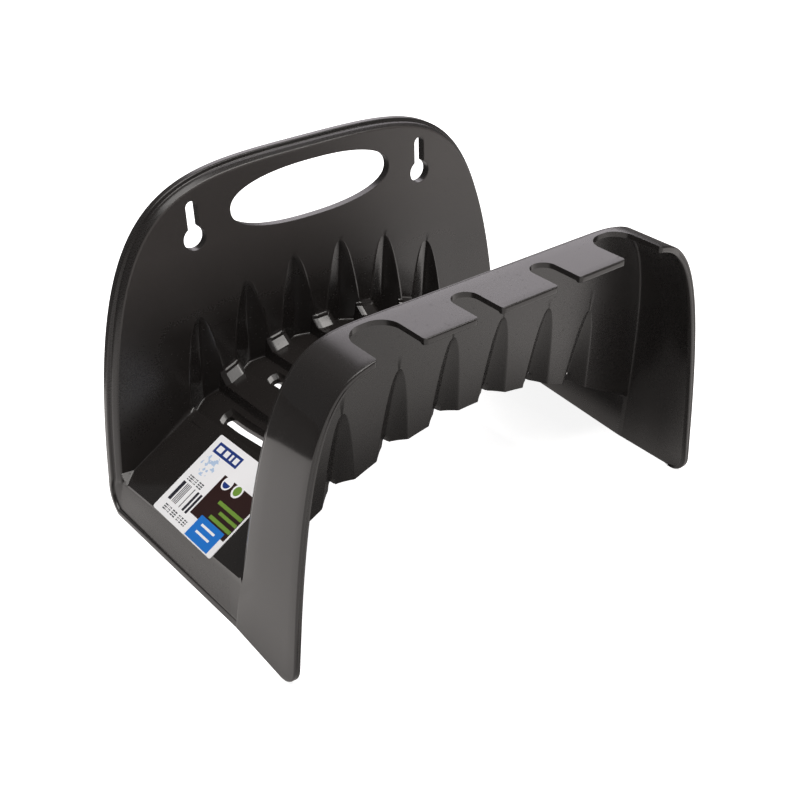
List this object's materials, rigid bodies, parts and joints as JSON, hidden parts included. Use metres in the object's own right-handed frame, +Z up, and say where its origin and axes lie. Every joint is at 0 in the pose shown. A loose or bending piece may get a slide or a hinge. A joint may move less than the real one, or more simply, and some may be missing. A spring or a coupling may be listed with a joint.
{
  "type": "wall hose hanger",
  "caption": "Moulded plastic wall hanger for a coiled garden hose: back plate with keyholes and a hand slot, arched saddle, fluted front wall and a notched flange.",
  "frame": {"origin": "on the wall plane, in the plane of symmetry, level with the lower edge of the legs", "axes": "+Z up along the wall, +Y into the wall, -Y toward the user, +X to the right of someone who faces the wall"},
  "size_m": [0.262, 0.17, 0.1704],
  "materials": {
    "hanger": "semi-gloss moulded polypropylene with a fine spark texture",
    "label": "coated paper label with plain coloured blocks"
  },
  "bodies": {
    "root": {"hanging_plate": "hanger", "fluted_back": "hanger", "plate_rim": "hanger", "saddle": "hanger", "left_end_panel": "hanger", "right_end_panel": "hanger", "front_wall": "hanger", "front_flange": "hanger", "left_leg": "hanger", "right_leg": "hanger", "left_skirt": "hanger", "right_skirt": "hanger", "product_label": "label"}
  },
  "joints": []
}
